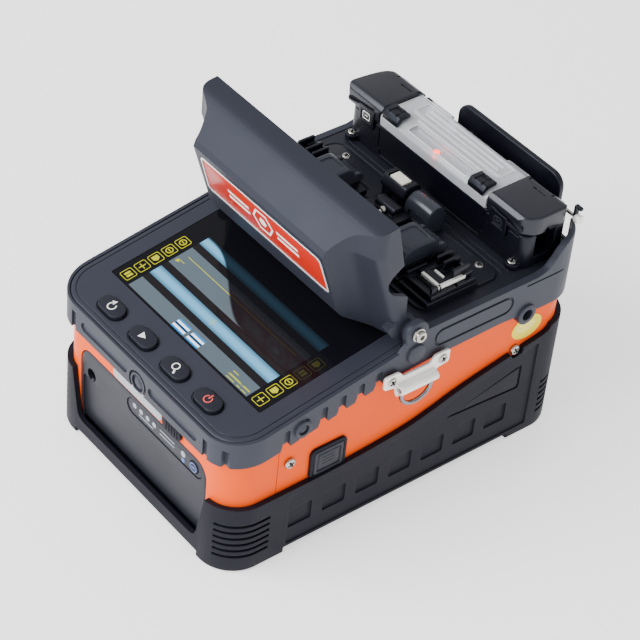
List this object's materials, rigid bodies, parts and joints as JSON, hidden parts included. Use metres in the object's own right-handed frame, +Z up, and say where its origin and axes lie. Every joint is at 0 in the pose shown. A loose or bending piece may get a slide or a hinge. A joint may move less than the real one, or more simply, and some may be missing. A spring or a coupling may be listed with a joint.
{
  "type": "fiber fusion splicer",
  "caption": "Rugged fibre fusion splicer with a rubber boot, tilted screen and keys, hinged wind cover over a splicing deck, and a tube heater with a clear lid.",
  "frame": {"origin": "centre of the footprint at the level of the feet", "axes": "+Z up, -Y towards the operator and the battery, +X the operator's right with the release button"},
  "size_m": [0.1512, 0.202, 0.1617],
  "materials": {
    "boot_rubber": "moulded matte rubber",
    "orange_shell": "fine satin moulded",
    "charcoal_rubber": "soft-touch moulded",
    "panel_plastic": "satin gloss",
    "black_plastic": "fine texture",
    "key_plastic": "satin",
    "screen_glass": "clear hard glass",
    "bare_metal": "plated, satin",
    "aluminium": "anodised",
    "chrome": "polished",
    "badge_red": "lacquered",
    "clear_lid": "moulded transparent",
    "grey_plastic": "satin",
    "lamp_white": "translucent",
    "ceramic": "ground ceramic look",
    "circuit": "solder mask"
  },
  "bodies": {
    "housing": {"boot": "boot_rubber", "housing_front": "orange_shell", "housing_rear": "orange_shell", "base_plate": "black_plastic", "mainboard": "circuit", "status_strip": "grey_plastic", "bumper": "charcoal_rubber", "bezel": "panel_plastic", "screen_glass": "screen_glass", "lcd_module": "aluminium", "key_board": "circuit", "deck": "panel_plastic", "splice_plate": "panel_plastic", "vgroove_block": "ceramic", "electrode_rear": "bare_metal", "electrode_front": "bare_metal", "lamp_arm": "black_plastic", "lamp_window": "lamp_white", "lens_block": "panel_plastic", "heater_body": "black_plastic", "heater_plate": "aluminium", "heater_pin": "bare_metal", "rear_tray": "black_plastic", "pin_knob": "grey_plastic", "hinge_screw_right": "bare_metal", "strap_bracket_right": "bare_metal", "side_screw_front_right": "bare_metal", "side_screw_rear_right": "bare_metal", "hinge_screw_left": "bare_metal", "strap_bracket_left": "bare_metal", "side_screw_front_left": "bare_metal", "side_screw_rear_left": "bare_metal"},
    "wind_cover": {"wind_cover": "panel_plastic", "badge_plate": "badge_red", "badge_trim": "chrome"},
    "battery": {"battery_pack": "panel_plastic", "lamp_strip": "key_plastic"},
    "charge_button": {"charge_button": "key_plastic"},
    "heater_lid": {"heater_lid": "clear_lid", "lid_latch_left": "black_plastic", "lid_latch_right": "black_plastic"},
    "release_button": {"release_button": "key_plastic"},
    "port_cover": {"port_cover": "boot_rubber"},
    "key_reset": {"key_reset": "key_plastic"},
    "key_play": {"key_play": "key_plastic"},
    "key_zoom": {"key_zoom": "key_plastic"},
    "key_power": {"key_power": "key_plastic"},
    "heater_cap_right": {"heater_cap_right": "black_plastic"},
    "stage_right": {"stage_right": "black_plastic", "holder_right": "black_plastic"},
    "clamp_lid_right": {"clamp_lid_right": "panel_plastic"},
    "holder_lid_right": {"holder_lid_right": "bare_metal"},
    "d_ring_right": {"d_ring_right": "chrome"},
    "heater_cap_left": {"heater_cap_left": "black_plastic"},
    "stage_left": {"stage_left": "black_plastic", "holder_left": "black_plastic"},
    "clamp_lid_left": {"clamp_lid_left": "panel_plastic"},
    "holder_lid_left": {"holder_lid_left": "bare_metal"},
    "d_ring_left": {"d_ring_left": "chrome"}
  },
  "joints": [
    {"name": "wind_cover_hinge", "type": "hinge", "parent": "housing", "child": "wind_cover", "pos_m": [0, -0.0025, 0.1], "axis": [1, 0, 0], "range_deg": [-99, 0]},
    {"name": "heater_lid_hinge", "type": "hinge", "parent": "housing", "child": "heater_lid", "pos_m": [0, 0.0926, 0.1204], "axis": [-1, 0, 0], "range_deg": [0, 65]},
    {"name": "battery_slide", "type": "slide", "parent": "housing", "child": "battery", "axis": [0, -1, 0], "range_m": [0, 0.065]},
    {"name": "charge_button_press", "type": "slide", "parent": "battery", "child": "charge_button", "axis": [0, 1, 0], "range_m": [0, 0.001], "stiffness_N_per_m": 800},
    {"name": "release_button_press", "type": "slide", "parent": "housing", "child": "release_button", "axis": [-1, 0, 0], "range_m": [0, 0.002], "stiffness_N_per_m": 900},
    {"name": "port_cover_hinge", "type": "hinge", "parent": "housing", "child": "port_cover", "pos_m": [0.0166, -0.0987, 0.0572], "axis": [0, 0, -1], "range_deg": [0, 100]},
    {"name": "key_reset_press", "type": "slide", "parent": "housing", "child": "key_reset", "axis": [0, 0.1736, -0.9848], "range_m": [0, 0.0015], "stiffness_N_per_m": 700},
    {"name": "key_play_press", "type": "slide", "parent": "housing", "child": "key_play", "axis": [0, 0.1736, -0.9848], "range_m": [0, 0.0015], "stiffness_N_per_m": 700},
    {"name": "key_zoom_press", "type": "slide", "parent": "housing", "child": "key_zoom", "axis": [0, 0.1736, -0.9848], "range_m": [0, 0.0015], "stiffness_N_per_m": 700},
    {"name": "key_power_press", "type": "slide", "parent": "housing", "child": "key_power", "axis": [0, 0.1736, -0.9848], "range_m": [0, 0.0015], "stiffness_N_per_m": 700},
    {"name": "heater_cap_right_hinge", "type": "hinge", "parent": "housing", "child": "heater_cap_right", "pos_m": [0.0465, 0.0926, 0.1204], "axis": [-1, 0, 0], "range_deg": [0, 65]},
    {"name": "stage_right_slide", "type": "slide", "parent": "housing", "child": "stage_right", "axis": [-1, 0, 0], "range_m": [-0.001, 0.003]},
    {"name": "clamp_lid_right_hinge", "type": "hinge", "parent": "stage_right", "child": "clamp_lid_right", "pos_m": [0.03, 0.0375, 0.1096], "axis": [-1, 0, 0], "range_deg": [0, 85]},
    {"name": "holder_lid_right_hinge", "type": "hinge", "parent": "stage_right", "child": "holder_lid_right", "pos_m": [0.0505, 0.0362, 0.1094], "axis": [-1, 0, 0], "range_deg": [0, 100]},
    {"name": "d_ring_right_swing", "type": "hinge", "parent": "housing", "child": "d_ring_right", "pos_m": [0.0731, -0.003, 0.075], "axis": [0, -1, 0], "range_deg": [0, 120]},
    {"name": "heater_cap_left_hinge", "type": "hinge", "parent": "housing", "child": "heater_cap_left", "pos_m": [-0.0535, 0.0926, 0.1204], "axis": [-1, 0, 0], "range_deg": [0, 65]},
    {"name": "stage_left_slide", "type": "slide", "parent": "housing", "child": "stage_left", "axis": [1, 0, 0], "range_m": [-0.001, 0.003]},
    {"name": "clamp_lid_left_hinge", "type": "hinge", "parent": "stage_left", "child": "clamp_lid_left", "pos_m": [-0.03, 0.0375, 0.1096], "axis": [-1, 0, 0], "range_deg": [0, 85]},
    {"name": "holder_lid_left_hinge", "type": "hinge", "parent": "stage_left", "child": "holder_lid_left", "pos_m": [-0.0505, 0.0362, 0.1094], "axis": [-1, 0, 0], "range_deg": [0, 100]},
    {"name": "d_ring_left_swing", "type": "hinge", "parent": "housing", "child": "d_ring_left", "pos_m": [-0.0731, -0.003, 0.075], "axis": [0, 1, 0], "range_deg": [0, 120]}
  ]
}
